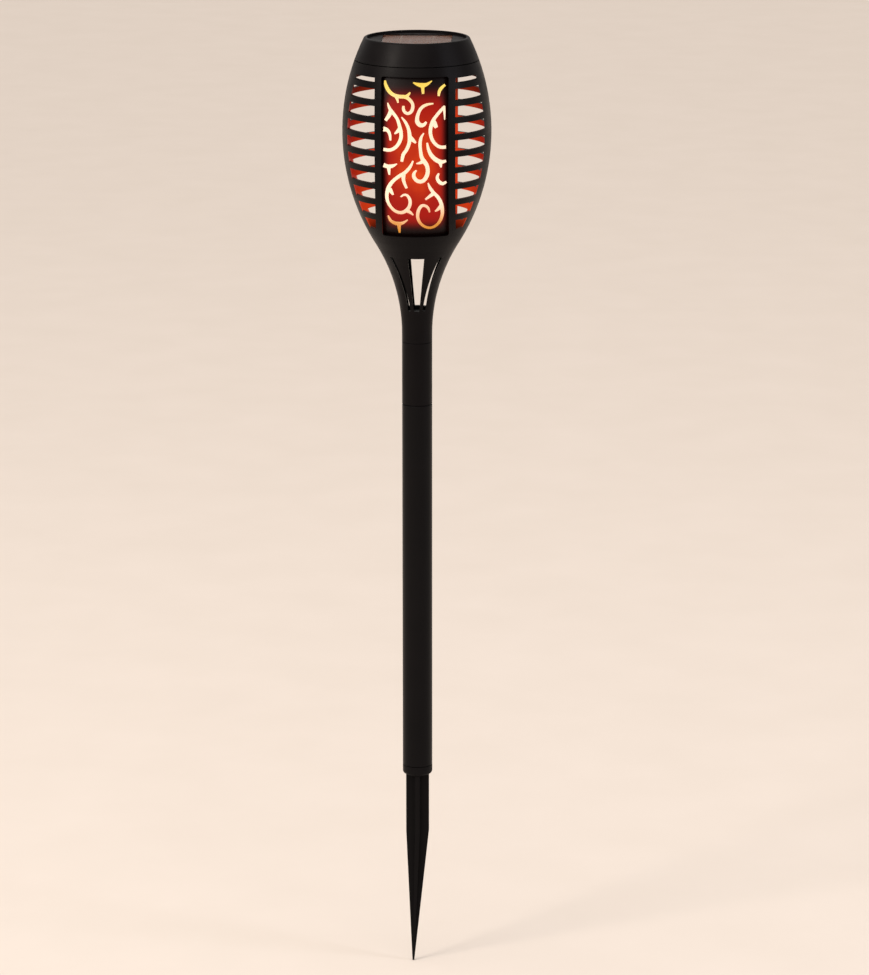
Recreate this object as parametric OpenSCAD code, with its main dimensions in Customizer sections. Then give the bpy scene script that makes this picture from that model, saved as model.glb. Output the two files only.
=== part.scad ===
/* [Pole] */
// Outside diameter of the pole, the coupler and the stake's collar
pole_d = 16; // [14:0.5:20]
// Wall of the pole tube
tube_wall = 1.2; // [0.8:0.1:2]
// Length of the pole tube
tube_len = 201; // [120:1:400]
// Length of the coupler's visible band, between the tube and the shade
band_len = 34; // [20:1:60]
// How far the coupler's lower spigot goes into the pole tube
band_spigot_len = 25; // [12:1:40]
// How far the coupler's upper spigot goes into the shade's neck
neck_spigot_len = 13; // [8:1:14]
// Chamfer on the ends of the tube and the coupler
edge_chamfer = 0.4; // [0.2:0.1:0.8]

/* [Ground stake] */
// Depth of the blades below the ground line
stake_len = 108.5; // [70:0.5:160]
// Height of the collar that rests on the ground
collar_h = 5; // [3:0.5:12]
// How far the stake's spigot goes into the pole tube
stake_spigot_len = 30; // [15:1:45]
// Width of each crossed blade where it leaves the collar
blade_w = 12.4; // [9:0.1:13]
// Thickness of each blade
blade_t = 2.6; // [1.6:0.1:3.4]
// Length of the straight stretch of the blades, before the taper
blade_straight = 33; // [15:1:60]
// Sideways offset of the tip from the pole's axis
tip_shift = -2.4; // [-4:0.1:4]
// Width left at the tip
tip_w = 1; // [0.6:0.1:2]
// Rounding of the collar's lower edge
collar_round = 1.5; // [0.5:0.1:2]

/* [Head shape] */
// Largest diameter of the head
head_d = 78; // [74:1:96]
// Radius of the outward curve of the head
bulge_r = 111; // [100:1:140]
// Radius of the inward curve of the neck
neck_r = 92; // [80:1:110]
// Straight stretch of the neck above the coupler
neck_straight = 4.2; // [2:0.1:10]
// Height of the flat top above the widest level
top_rise = 49.4; // [46:0.1:56]
// Height of the seam between shade and cap above the widest level
seam_rise = 38; // [36:0.1:40]
// Open line at the seam
seam_gap = 0.4; // [0.2:0.1:0.8]
// Rounding of the cap's top edge
top_round = 1.2; // [0.8:0.1:2.2]

/* [Shade] */
// Wall of the shade
shade_wall = 2; // [1.6:0.1:2.6]
// Thickness of the cup's floor
floor_t = 2; // [1.5:0.1:3]
// Height of the cup's floor above the neck's lower end
floor_rise = 48.5; // [44:0.5:52]
// Height where the neck turns from solid to hollow, above its lower end
hollow_rise = 16; // [15.5:0.5:18]
// Number of slots in each slatted window
slot_count = 10; // [6:1:10]
// Distance from one slot to the next
slot_pitch = 8.7; // [7.5:0.1:8.7]
// Height of each slot
slot_h = 5.7; // [4:0.1:6.5]
// Height of the top slot, which stops short under the rim
top_slot_h = 2.4; // [2:0.1:5]
// Height of the top slot's centre, if it were full, above the widest level
slot_top_rise = 32.4; // [30:0.1:32.6]
// Distance of a slot's straight inner end from the centre plane
slot_inner_x = 20.8; // [20.6:0.1:23]
// Distance of a slot's curved outer end from the outline
slot_inset = 3.4; // [2.4:0.1:4]
// Width of the scroll window, front and rear
window_w = 34.6; // [34:0.2:37]
// Height of the scroll window
window_h = 84.6; // [84.2:0.2:86]
// Height of the window's top edge above the widest level
window_top_rise = 33; // [32:0.1:33.4]
// Rounding of the window's corners
window_round = 1.2; // [0.5:0.1:3]

/* [Neck openings] */
// Height of the openings' lower end above the neck's lower end
gap_low_rise = 17.5; // [17:0.5:26]
// Width of the middle opening at its top
gap_top_w = 8.6; // [6:0.1:10]
// Width of the middle opening at its foot
gap_low_w = 2.8; // [2:0.1:4]
// Distance of the narrow side slots from the outline
side_slot_inset = 4.5; // [4:0.1:4.8]
// Width of the narrow side slots
side_slot_w = 1.3; // [1:0.1:1.6]

/* [Scroll panels] */
// Thickness of a scroll panel
panel_t = 1.5; // [1.2:0.1:2]
// Width of the scroll strokes against the listed widths
scroll_bold = 1.08; // [0.8:0.02:1.3]
// How far a panel reaches past the window on every side
panel_lap = 2; // [1.5:0.1:2.2]
// Free gap between a panel and the shade's wall
panel_gap = 0.08; // [0.05:0.01:0.2]
// Depth of the ledge that carries the panels
ledge_w = 2.3; // [1.8:0.1:2.6]
// Thickness of that ledge
ledge_t = 1.5; // [1:0.1:2.5]

/* [Light unit] */
// Outside radius of the skirt that drops into the shade
skirt_r = 26.6; // [26.4:0.1:27.2]
// Wall of the skirt
skirt_wall = 1.6; // [1.2:0.1:1.8]
// Wall of the cap
cap_wall = 1.8; // [1.4:0.1:2.2]
// Thickness of the cap's ceiling, under the solar panel
ceiling_t = 1.1; // [0.8:0.1:1.5]
// Distance of the square solar panel's corners from the wall of the dish
solar_margin = 0.5; // [0.3:0.1:4]
// Thickness of the solar panel
solar_t = 1.5; // [1:0.1:2]
// Thickness of the clear cover over the solar panel
cover_t = 0.5; // [0.3:0.1:0.8]
// Thickness of the foam pad under the solar panel
pad_t = 0.4; // [0.3:0.1:0.8]
// Depth of the shallow round dish in the cap's top
dish_depth = 1.3; // [0.5:0.1:1.4]
// Width of the flat lip around that dish
dish_lip = 0.7; // [0.5:0.1:1]
// Depth of the clear cover below the floor of the dish
cover_recess = 0.1; // [0.1:0.1:0.4]
// Diameter of the rechargeable cell
cell_d = 10.2; // [8:0.1:10.4]
// Length of the cell's can
cell_len = 29; // [24:0.5:30]
// Thickness of the base plate
base_t = 1.8; // [1.4:0.1:2.4]
// Outside radius of the flame tube
tube_r = 19; // [17.5:0.1:19.2]
// Free gap between the tube's foot and the shade's inner wall
foot_gap = 1; // [0.6:0.1:2]
// Wall of the flame tube
lamp_wall = 1.2; // [0.8:0.1:1.6]
// Width of the lamp board
lamp_board_w = 14; // [11:0.5:18]
// Thickness of both circuit boards
board_t = 1.2; // [0.8:0.1:1.6]
// Number of lamps on each side of the lamp board
lamp_count = 6; // [3:1:8]
// Side of each square lamp
lamp_w = 5; // [3.5:0.1:5.4]
// Height of each lamp
lamp_h = 1.6; // [1:0.1:2]

/* [Twist lock] */
// Turn from the free position to the locked one, in degrees
lock_turn = 25; // [18:1:30]
// Thickness of the shade's rim flange
flange_t = 2; // [1.5:0.1:2.2]
// How far the lugs stand out of the skirt
lug_out = 2.1; // [1.2:0.1:2.4]
// Width of a lug, in degrees
lug_span = 13; // [8:1:16]
// Height of a lug
lug_h = 2.3; // [1.5:0.1:2.6]
// Free gap around the lugs and the skirt
lock_gap = 0.35; // [0.3:0.05:0.5]

/* [Fits] */
// Radial clearance of a spigot in its socket
spigot_gap = 0.05; // [0.02:0.01:0.1]
// Radial clearance of the button in its hole
button_gap = 0.05; // [0.02:0.01:0.1]
// Clearance around parts that are only laid in place
lay_gap = 0.2; // [0.1:0.05:0.4]
// Clearance around a screw's shank
screw_gap = 0.05; // [0.02:0.01:0.1]

/* [Hidden] */
$fn = 96;
eps = 0.01;
outline_step = 4;
stroke_steps = 3;
black = "#1c1b1d";

// Levels from the ground line up
pole_r = pole_d / 2;
head_r = head_d / 2;
tube_z = collar_h;
band_z = tube_z + tube_len;
neck_z = band_z + band_len;

// The two arcs of the outline: centres, and the point where they touch
bulge_x = head_r - bulge_r;
curve_x = pole_r + neck_r;
curve_z = neck_z + neck_straight;
bulge_z = curve_z + sqrt(pow(bulge_r + neck_r, 2) - pow(curve_x - bulge_x, 2));
seam_z = bulge_z + seam_rise;
top_z = bulge_z + top_rise;
rim_z = seam_z - seam_gap;

// Shade
floor_z = neck_z + floor_rise;
window_z = bulge_z + window_top_rise - window_h;
flange_z = rim_z - flange_t;
ledge_z = window_z - panel_lap;
tube_in_r = pole_r - tube_wall;
low_spigot_r = tube_in_r - spigot_gap;
neck_socket_r = pole_r - 2.3;
neck_spigot_r = neck_socket_r - spigot_gap;
entry_r = skirt_r + lock_gap;

// Cap: the end of its rounded edge, the dish inside the lip, and the panel that fits the dish
cap_edge_z = top_z - top_round;
cap_edge_x = bulge_x + sqrt(pow(bulge_r - top_round, 2) - pow(cap_edge_z - bulge_z, 2));
dish_r = cap_edge_x - dish_lip;
dish_z = top_z - dish_depth;
solar_w = (dish_r - solar_margin) * sqrt(2);

// Cap and its contents, from the top down
cover_z = dish_z - cover_recess - cover_t;
solar_z = cover_z - solar_t;
pad_z = solar_z - pad_t;
ceiling_z = pad_z - ceiling_t;
base_top_z = ceiling_z - cell_d - 1.1;
base_z = base_top_z - base_t;
skirt_in_r = skirt_r - skirt_wall;
lug_top_z = flange_z - 0.3;
skirt_z = min(base_z, lug_top_z - lug_h);
cell_r = cell_d / 2;
cell_z = base_top_z + 0.5 + cell_r;
cell_y = -8.5;
tip_len = 1;
contact_t = 0.4;
contact_w = 8;
spring_len = 3;

// Circuit board, switch and screws
board_z = base_top_z + 5.1;
board_top_z = board_z + board_t;
board_screw_x = 11.5;
board_screw_y = 12;
board_screw_r = 0.8;
switch_y = 21.2;
switch_h = 2.4;
switch_z = board_z - switch_h;
button_r = 1.6;
button_stem_r = 1.2;
button_flange_r = 2.2;
button_flange_h = 0.9;
button_out = 2;
button_rest = 0.05;
housing_screw_places = [[19.05, 11], [-19.05, 11], [0, -22]];
housing_screw_r = 0.95;
housing_screw_len = 7;
housing_boss_r = 2.4;
panel_lead_x = 8.7;
panel_lead_y = 11;
lead_r = 0.5;

// Flame tube and lamps
tube_top_z = base_z;
foot_reach = tube_r + foot_gap - bulge_x;
tube_foot_z = max(floor_z + floor_t + 1, bulge_z - sqrt(pow(bulge_r - shade_wall, 2) - pow(foot_reach, 2)));
cap_disc_t = 1.5;
cap_plug_h = 3;
lamp_board_z = tube_foot_z + cap_disc_t + cap_plug_h - 1.5;
lamp_board_top_z = base_top_z + 1.5;
lamp_pitch = (tube_top_z - lamp_board_z - 14) / (lamp_count - 1);
tube_rib_h = 3;

// Radius of the head's outline at a level, moved inwards by inset
function outline_r(inset, level) =
    let (touch_z = curve_z + (bulge_z - curve_z) * (neck_r + inset) / (bulge_r + neck_r))
    level < curve_z ? pole_r - inset
    : level < touch_z ? curve_x - sqrt(pow(neck_r + inset, 2) - pow(level - curve_z, 2))
    : bulge_x + sqrt(pow(bulge_r - inset, 2) - pow(level - bulge_z, 2));

// The outline's points from the level low up to high
function outline(inset, low, high) = let (steps = ceil((high - low) / outline_step))
    [for (i = [0 : steps]) let (level = low + (high - low) * i / steps) [outline_r(inset, level), level]];

// The same points from high down to low
function outline_down(inset, low, high) = let (up = outline(inset, low, high)) [for (i = [len(up) - 1 : -1 : 0]) up[i]];

// Half section of the head between two levels, out from the axis or from the line inner_x
module head_band(inset, low, high, inner_x = 0) {
    polygon(concat([[inner_x, low]], outline(inset, low, high), [[inner_x, high]]));
}

// Half section of a curved wall between two insets
module wall_band(outer_inset, inner_inset, low, high) {
    polygon(concat(outline(outer_inset, low, high), outline_down(inner_inset, low, high)));
}

// Cuts front to back through both walls, from an outline drawn for the right side
module cut_through(both = true) {
    for (side = both ? [0, 1] : [0])
        mirror([side, 0, 0]) rotate([90, 0, 0]) linear_extrude(head_d + 2, center = true) children();
}

// Flat ring
module ring(outer_r, inner_r, low, high) {
    translate([0, 0, low]) difference() {
        cylinder(r = outer_r, h = high - low);
        translate([0, 0, -1]) cylinder(r = inner_r, h = high - low + 2);
    }
}

// Sector from angle a to angle b, reaching out to far_r
module sector(a, b, far_r, low, high) {
    translate([0, 0, low]) linear_extrude(high - low)
        polygon([[0, 0], for (i = [0 : 4]) far_r * [cos(a + (b - a) * i / 4), sin(a + (b - a) * i / 4)]]);
}

// Insulated lead along straight stretches with round corners
module lead(points, r) {
    for (i = [0 : len(points) - 2]) {
        run = points[i + 1] - points[i];
        translate(points[i]) rotate([0, acos(run.z / norm(run)), atan2(run.y, run.x)]) cylinder(r = r, h = norm(run), $fn = 16);
        if (i > 0) translate(points[i]) sphere(r = r * 1.1, $fn = 16);
    }
}

// Round bar with chamfered ends
module chamfered_bar(r, low, high, chamfer) {
    rotate_extrude()
        polygon([[0, low], [r - chamfer, low], [r, low + chamfer], [r, high - chamfer], [r - chamfer, high], [0, high]]);
}

// ---- Pole ----

// Flat taper of the stake: full width down to the straight stretch, then to the tip at shift
module blade_outline(w, end_w, shift) {
    polygon([[-w / 2, eps], [w / 2, eps], [w / 2, -blade_straight], [shift + end_w / 2, -stake_len],
        [shift - end_w / 2, -stake_len], [-w / 2, -blade_straight]]);
}

module stake_blade(wide_x) {
    intersection() {
        rotate([90, 0, 0]) linear_extrude(blade_w + 1, center = true)
            blade_outline(wide_x ? blade_w : blade_t, tip_w, tip_shift);
        rotate([90, 0, 90]) linear_extrude(blade_w * 2, center = true)
            blade_outline(wide_x ? blade_t : blade_w, tip_w, 0);
    }
}

module ground_stake() {
    color(black) {
        rotate_extrude() {
            square([pole_r - collar_round, collar_h]);
            translate([0, collar_round]) square([pole_r, collar_h - collar_round]);
            translate([pole_r - collar_round, collar_round]) circle(r = collar_round, $fn = 32);
        }
        chamfered_bar(low_spigot_r, collar_h - 1, collar_h + stake_spigot_len, 1);
        stake_blade(true);
        stake_blade(false);
    }
}

module pole_tube() {
    color(black) rotate_extrude()
        polygon([[tube_in_r, tube_z], [pole_r - edge_chamfer, tube_z], [pole_r, tube_z + edge_chamfer],
            [pole_r, band_z - edge_chamfer], [pole_r - edge_chamfer, band_z], [tube_in_r, band_z]]);
}

module pole_coupler() {
    color(black) {
        chamfered_bar(pole_r, band_z, neck_z, edge_chamfer);
        chamfered_bar(low_spigot_r, band_z - band_spigot_len, band_z + 1, 1);
        chamfered_bar(neck_spigot_r, neck_z - 1, neck_z + neck_spigot_len, 1);
    }
}

// ---- Shade ----

// Rectangle with round corners, from its lower left corner
module round_rect(w, h, r) {
    translate([r, 0]) square([w - 2 * r, h]);
    translate([0, r]) square([w, h - 2 * r]);
    for (x = [r, w - r], y = [r, h - r]) translate([x, y]) circle(r = r, $fn = 32);
}

module shade_body() {
    ledge_foot = ledge_z - ledge_t;
    ledge_in = outline_r(shade_wall, ledge_z) - ledge_w;
    rotate_extrude() difference() {
        polygon(concat([[0, neck_z]], outline(0, neck_z, rim_z), [[entry_r, rim_z], [entry_r, flange_z]],
            outline_down(shade_wall, ledge_z, flange_z), [[ledge_in, ledge_z], [ledge_in, ledge_foot]],
            outline_down(shade_wall, floor_z + floor_t, ledge_foot), [[0, floor_z + floor_t]]));
        head_band(shade_wall, neck_z + hollow_rise, floor_z);
        translate([0, neck_z - 1]) square([neck_socket_r, neck_spigot_len + 2]);
    }
}

module slat_windows() {
    cut_through() for (i = [0 : slot_count - 1]) {
        foot = bulge_z + slot_top_rise - i * slot_pitch - slot_h / 2;
        head_band(slot_inset, foot, foot + (i == 0 ? top_slot_h : slot_h), slot_inner_x);
    }
}

module neck_openings() {
    low = neck_z + gap_low_rise;
    high = floor_z - 1;
    cut_through(false)
        polygon([[-gap_low_w / 2, low], [gap_low_w / 2, low], [gap_top_w / 2, high], [-gap_top_w / 2, high]]);
    cut_through() wall_band(side_slot_inset, side_slot_inset + side_slot_w, low, high);
}

module shade() {
    color(black) {
        difference() {
            shade_body();
            slat_windows();
            neck_openings();
            cut_through(false) translate([-window_w / 2, window_z]) round_rect(window_w, window_h, window_round);
            for (a = [90, 210, 330])
                intersection() {
                    ring(skirt_r + lug_out + lock_gap, 1, flange_z - 1, rim_z + 1);
                    sector(a - lug_span / 2 - 2, a + lug_span / 2 + 2, head_r, flange_z - 1, rim_z + 1);
                }
        }
        // Stops for the lugs at the locked end of the turn
        for (a = [90, 210, 330])
            intersection() {
                ring(skirt_r + lug_out + lock_gap + 1, entry_r, flange_z - lug_h, flange_z + 1);
                sector(a + lock_turn + lug_span / 2 + 1, a + lock_turn + lug_span / 2 + 5, head_r,
                    flange_z - lug_h, flange_z + 1);
            }
    }
}

// A scroll is a list of [x, height above the window's foot, width], the points of a smooth stroke
scrolls = [
    // Top row
    [[-15.4, 82.4, 0.8], [-15.0, 80.0, 1.7], [-13.4, 77.2, 2.0], [-11.0, 75.4, 1.9], [-8.0, 74.7, 1.9],
        [-5.0, 74.6, 1.9], [-2.8, 73.4, 1.8], [-1.2, 71.4, 1.6], [-1.0, 69.2, 1.6], [-1.9, 67.1, 1.6],
        [-3.6, 66.3, 1.6], [-5.2, 67.1, 1.6], [-5.8, 68.6, 1.5], [-5.7, 70.2, 1.0]],
    [[-4.6, 74.6, 1.8], [-3.4, 75.6, 1.4], [-2.3, 77.0, 0.7]],
    [[-9.6, 74.8, 2.0], [-9.0, 73.2, 1.3], [-8.5, 71.4, 0.7]],
    [[-0.9, 81.8, 0.7], [1.4, 80.9, 1.7], [4.0, 80.4, 2.3], [6.4, 81.0, 1.5], [8.8, 82.6, 0.5]],
    [[4.0, 80.4, 1.9], [4.1, 78.4, 1.5], [4.3, 76.1, 1.2]],
    [[15.5, 80.3, 1.2], [13.6, 78.8, 1.6], [12.5, 77.0, 1.5], [12.2, 74.7, 1.0]],
    // Left hook and its barbs
    [[-14.0, 71.4, 0.6], [-12.9, 68.4, 1.6], [-10.6, 65.6, 1.7], [-8.9, 63.2, 1.6], [-7.9, 60.2, 1.7],
        [-7.1, 57.0, 1.8], [-7.0, 54.0, 1.7], [-8.1, 51.0, 1.7], [-10.0, 48.6, 1.7], [-12.8, 47.1, 1.8],
        [-16.2, 47.2, 1.8]],
    [[-12.2, 67.6, 2.0], [-13.2, 65.0, 1.9], [-15.2, 62.1, 1.4]],
    [[-7.4, 59.0, 1.8], [-8.6, 57.2, 1.7], [-10.4, 55.6, 0.7]],
    [[-16.2, 57.8, 2.6], [-14.2, 57.4, 2.0], [-12.9, 55.4, 1.5], [-12.5, 52.0, 0.9]],
    // Long stroke left of the middle, and its barb
    [[-6.8, 64.4, 0.7], [-4.7, 61.8, 1.5], [-3.2, 58.6, 1.6], [-2.6, 55.2, 1.9], [-2.8, 51.2, 1.7],
        [-4.2, 47.6, 1.7], [-5.9, 45.0, 1.7], [-6.7, 41.2, 1.3]],
    [[-2.6, 54.4, 2.2], [-1.0, 52.8, 2.0], [0.7, 51.2, 1.0]],
    // Middle hook
    [[9.6, 71.2, 0.8], [6.4, 70.8, 1.4], [3.8, 69.5, 1.6], [2.1, 67.0, 1.6], [1.3, 64.0, 1.8],
        [1.5, 61.8, 2.2], [3.2, 60.3, 2.2], [5.0, 60.8, 1.7], [6.0, 62.2, 0.9]],
    // Right hook and its barbs
    [[15.4, 69.8, 1.0], [13.4, 67.6, 1.6], [11.3, 65.2, 1.6], [9.4, 62.6, 1.7], [8.3, 59.4, 1.7],
        [8.1, 56.0, 1.7], [9.2, 52.4, 1.7], [11.3, 49.8, 1.7], [13.4, 48.7, 1.8], [16.0, 48.6, 1.8]],
    [[14.9, 69.4, 1.4], [15.2, 66.0, 1.0], [15.3, 62.6, 0.5]],
    [[9.4, 62.8, 2.0], [10.2, 60.8, 2.4], [11.2, 58.8, 1.6]],
    // Long stroke right of the middle, ending in a curl
    [[4.8, 56.4, 0.6], [3.4, 54.2, 1.3], [2.8, 51.0, 1.6], [3.0, 47.4, 1.6], [3.6, 43.8, 1.9],
        [5.0, 41.4, 2.2], [6.3, 39.2, 2.0], [6.7, 36.2, 1.9], [6.0, 33.4, 2.0], [4.4, 31.3, 2.1],
        [2.6, 30.8, 2.1], [0.7, 31.6, 2.0], [-0.5, 33.6, 1.8], [-0.2, 35.6, 1.4], [1.0, 36.9, 0.8]],
    [[4.6, 41.8, 2.2], [2.8, 40.8, 1.5], [0.8, 40.4, 0.7]],
    [[6.4, 51.4, 0.8], [7.0, 48.2, 1.5], [8.2, 45.3, 1.9], [10.0, 43.0, 2.2], [12.2, 41.4, 2.3],
        [14.2, 40.9, 2.0], [16.1, 41.4, 1.3]],
    [[12.6, 41.4, 2.4], [13.2, 39.8, 1.6], [13.5, 37.9, 0.7]],
    // Small pieces at mid height
    [[-16.2, 39.0, 2.4], [-14.2, 38.4, 2.1], [-11.8, 38.7, 1.9], [-9.1, 40.1, 0.6]],
    [[-13.6, 38.2, 1.9], [-13.4, 36.2, 1.5], [-13.2, 33.8, 0.8]],
    [[12.4, 35.0, 0.9], [11.5, 32.8, 1.5], [12.4, 30.4, 1.9], [14.3, 29.2, 1.9], [16.2, 30.2, 1.2]],
    // Large spiral at the lower left, and its barbs
    [[-0.8, 42.0, 0.7], [-2.4, 38.6, 1.5], [-5.0, 35.6, 1.8], [-8.0, 33.6, 1.8], [-11.4, 30.6, 1.8],
        [-13.6, 27.2, 1.9], [-14.6, 23.4, 1.7], [-14.4, 19.8, 1.7], [-13.0, 16.8, 1.7], [-10.4, 14.2, 1.8],
        [-7.2, 13.5, 1.9], [-4.4, 15.0, 1.9], [-2.8, 17.6, 1.6], [-2.6, 20.6, 1.6], [-3.8, 23.0, 1.5],
        [-5.6, 23.5, 1.3], [-7.5, 22.2, 0.7]],
    [[-5.8, 34.8, 2.0], [-5.8, 31.2, 1.7], [-4.2, 27.0, 1.3]],
    [[-13.2, 26.6, 2.2], [-12.4, 24.8, 2.0], [-11.2, 23.1, 1.0]],
    [[-4.2, 14.8, 2.2], [-2.6, 13.8, 1.7], [-0.9, 12.2, 0.7]],
    // Large spiral at the lower right, and its barbs
    [[6.8, 30.1, 0.6], [7.8, 27.3, 1.5], [9.6, 24.5, 1.8], [11.7, 22.1, 1.8], [13.2, 19.1, 1.8],
        [13.9, 15.5, 1.8], [13.9, 12.0, 1.6], [12.8, 8.6, 1.6], [10.6, 6.0, 1.6], [7.8, 4.9, 1.6],
        [4.8, 5.7, 1.6], [2.4, 8.0, 1.6], [1.3, 11.2, 1.6], [1.7, 14.8, 1.6], [3.4, 17.5, 1.7],
        [5.4, 17.4, 1.6], [6.8, 16.0, 1.4], [7.5, 13.6, 0.7]],
    [[9.8, 24.3, 2.2], [7.8, 22.8, 1.7], [5.3, 20.9, 1.0]],
    [[13.6, 17.3, 2.0], [12.2, 15.5, 1.8], [10.2, 14.0, 0.9]],
    // Horned piece at the foot
    [[-14.2, 11.4, 0.8], [-13.0, 8.7, 1.7], [-11.0, 7.4, 2.1], [-8.6, 7.1, 2.3], [-6.3, 7.8, 1.6], [-3.8, 9.7, 0.6]],
    [[-8.6, 7.2, 2.2], [-8.5, 4.6, 1.6], [-8.3, 1.7, 0.9]]
];

// Point of a smooth curve through a, b, c and d, at t between b and c
function along(a, b, c, d, t) =
    0.5 * ((2 * b) + (c - a) * t + (2 * a - 5 * b + 4 * c - d) * t * t + (3 * b - a - 3 * c + d) * t * t * t);

// A stroke's points, with steps extra ones between each pair
function smooth(knots, steps) = let (last = len(knots) - 1) [
    for (i = [0 : last - 1], s = [0 : steps - 1])
        along(knots[max(i - 1, 0)], knots[i], knots[i + 1], knots[min(i + 2, last)], s / steps),
    knots[last]
];

// Unit normal of the stroke at point i
function side_of(points, i) = let (
    run = points[min(i + 1, len(points) - 1)] - points[max(i - 1, 0)],
    size = norm([run.x, run.y])
) [-run.y / size, run.x / size];

module stroke(knots) {
    points = smooth(knots, stroke_steps);
    last = len(points) - 1;
    function edge(i, side) = [points[i].x, points[i].y] + side_of(points, i) * points[i].z * side * scroll_bold / 2;
    polygon(concat([for (i = [0 : last]) edge(i, 1)], [for (i = [last : -1 : 0]) edge(i, -1)]));
}

module scroll_panel() {
    half_w = window_w / 2 + panel_lap;
    high = window_z + window_h + panel_lap;
    difference() {
        intersection() {
            rotate_extrude() wall_band(shade_wall + panel_gap, shade_wall + panel_gap + panel_t, ledge_z, high);
            translate([-half_w, -head_r, ledge_z - 1]) cube([2 * half_w, head_r - 1, high - ledge_z + 2]);
        }
        for (knots = scrolls) translate([0, -1, window_z]) rotate([90, 0, 0]) linear_extrude(head_r) stroke(knots);
    }
}

module front_scroll_panel() {
    color("#a3200c") scroll_panel();
}

module rear_scroll_panel() {
    color("#a3200c") rotate([0, 0, 180]) scroll_panel();
}

// ---- Cap ----

seal_in_r = skirt_r + 1.4;
seal_out_r = seal_in_r + 2;
seal_groove = 0.35;

module seal_ring() {
    color("#3a3a3c") ring(seal_out_r, seal_in_r, rim_z, seam_z + seal_groove);
}

// Half outline of the cap from the seam to its rounded edge, the lip and the dish
module cap_area() {
    edge_turn = asin((cap_edge_z - bulge_z) / (bulge_r - top_round));
    polygon(concat([[0, seam_z]], outline(0, seam_z, cap_edge_z + top_round * sin(edge_turn)),
        [for (i = [1 : 6]) let (turn = edge_turn + (90 - edge_turn) * i / 6)
            [cap_edge_x + top_round * cos(turn), cap_edge_z + top_round * sin(turn)]],
        [[dish_r, top_z], [dish_r, dish_z], [0, dish_z]]));
}

module cap_housing() {
    color(black) difference() {
        union() {
            rotate_extrude() difference() {
                union() {
                    cap_area();
                    translate([skirt_in_r, skirt_z]) square([skirt_wall, seam_z - skirt_z + eps]);
                }
                head_band(cap_wall, seam_z + cap_wall, ceiling_z);
                translate([0, seam_z - 1]) square([skirt_in_r, cap_wall + 2]);
                translate([seal_in_r - lay_gap, seam_z - 1]) square([2 + 2 * lay_gap, 1 + seal_groove]);
            }
            for (a = [90, 210, 330])
                intersection() {
                    ring(skirt_r + lug_out, skirt_r - 0.5, lug_top_z - lug_h, lug_top_z);
                    sector(a - lug_span / 2, a + lug_span / 2, head_r, lug_top_z - lug_h, lug_top_z);
                }
            for (p = housing_screw_places)
                translate([p.x, p.y, base_top_z]) cylinder(r = housing_boss_r, h = ceiling_z - base_top_z + eps);
        }
        translate([0, 0, pad_z + 5]) cube([solar_w + 2 * lay_gap, solar_w + 2 * lay_gap, 10], center = true);
        translate([panel_lead_x, panel_lead_y, ceiling_z - 1]) cylinder(r = 1.8, h = ceiling_t + 2);
        for (p = housing_screw_places)
            translate([p.x, p.y, base_top_z - 1]) cylinder(r = housing_screw_r + screw_gap, h = housing_screw_len + 1);
    }
}

module square_sheet(w, t, z) {
    translate([-w / 2, -w / 2, z]) cube([w, w, t]);
}

module solar_panel() {
    color("#4b3f3c") square_sheet(solar_w, solar_t, solar_z);
}

module panel_cover() {
    color("#8d8784") square_sheet(solar_w, cover_t, cover_z);
}

module panel_pad() {
    color("#e6e2da") difference() {
        square_sheet(solar_w - 1, pad_t, pad_z);
        translate([panel_lead_x, panel_lead_y, pad_z - 1]) cylinder(r = 1.8, h = pad_t + 2);
    }
}

module base_plate() {
    post_x = cell_len / 2 + tip_len;
    color(black) difference() {
        union() {
            translate([0, 0, base_z]) cylinder(r = skirt_in_r - lay_gap, h = base_t);
            ring(tube_r - lamp_wall - lay_gap, tube_r - lamp_wall - lay_gap - 1.2, base_z - tube_rib_h, base_z + eps);
            for (x = [-board_screw_x, board_screw_x])
                translate([x, board_screw_y, base_z]) cylinder(r = 2, h = board_z - base_z);
            // Saddles under the cell, and a post for each contact
            for (x = [-9, 9]) translate([x - 1.5, cell_y - cell_r, base_z]) cube([3, cell_d, base_t + cell_r - 1]);
            translate([post_x - 1, cell_y - 3.5, base_z]) cube([2.4, 7, base_t + 3]);
            translate([-cell_len / 2 - spring_len - 1.4, cell_y - 3.5, base_z]) cube([2.4, 7, base_t + 3]);
        }
        translate([0, cell_y, cell_z]) rotate([0, 90, 0])
            cylinder(r = cell_r + 0.1, h = cell_len + 2 * tip_len + 0.2, center = true);
        translate([post_x - 0.05, cell_y - 4.5, base_top_z]) cube([contact_t + 0.1, 9, 10]);
        translate([-cell_len / 2 - spring_len - contact_t - 0.05, cell_y - 4.5, base_top_z])
            cube([contact_t + 0.1, 9, 10]);
        translate([-lamp_board_w / 2 - lay_gap, -board_t / 2 - lay_gap, base_z - tube_rib_h - 1])
            cube([lamp_board_w + 2 * lay_gap, board_t + 2 * lay_gap, 20]);
        translate([0, switch_y, base_z - 1]) cylinder(r = button_r + button_gap, h = base_t + 2);
        for (x = [-board_screw_x, board_screw_x])
            translate([x, board_screw_y, base_top_z]) cylinder(r = board_screw_r + screw_gap, h = 10);
        for (p = housing_screw_places)
            translate([p.x, p.y, base_z - 1]) cylinder(r = housing_screw_r + screw_gap, h = base_t + 2);
    }
}

// Pan-head screw with its head's seat at z = 0 and its shank upwards
module screw(shank_r, shank_len, head_r, head_h) {
    difference() {
        union() {
            cylinder(r = shank_r, h = shank_len);
            translate([0, 0, -head_h]) cylinder(r = head_r, h = head_h);
        }
        for (turn = [0, 90])
            rotate([0, 0, turn]) translate([-head_r * 0.7, -0.25, -head_h - 1]) cube([head_r * 1.4, 0.5, 1.6]);
    }
}

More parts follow.
